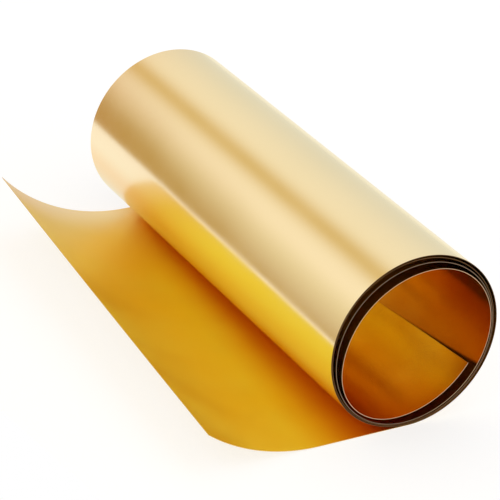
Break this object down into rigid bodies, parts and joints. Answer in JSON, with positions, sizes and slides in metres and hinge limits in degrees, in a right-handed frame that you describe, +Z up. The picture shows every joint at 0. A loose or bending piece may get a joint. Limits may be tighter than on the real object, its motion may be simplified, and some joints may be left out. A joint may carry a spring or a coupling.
{
  "type": "brass sheet roll",
  "caption": "Thin brass sheet wound into a loose roll with an open bore, its outer end lying flat as a tail that curls up along the free edge.",
  "frame": {"origin": "middle of the flat patch of tail that the roll rests on, on the floor", "axes": "+Y along the roll's axis, from the near end to the far end; -X the way the tail points; +Z up"},
  "size_m": [0.119, 0.2, 0.0705],
  "materials": {
    "brass_sheet": "bright rolled metal with soft streaks along the roll"
  },
  "bodies": {
    "root": {"brass_sheet": "brass_sheet"}
  },
  "joints": []
}
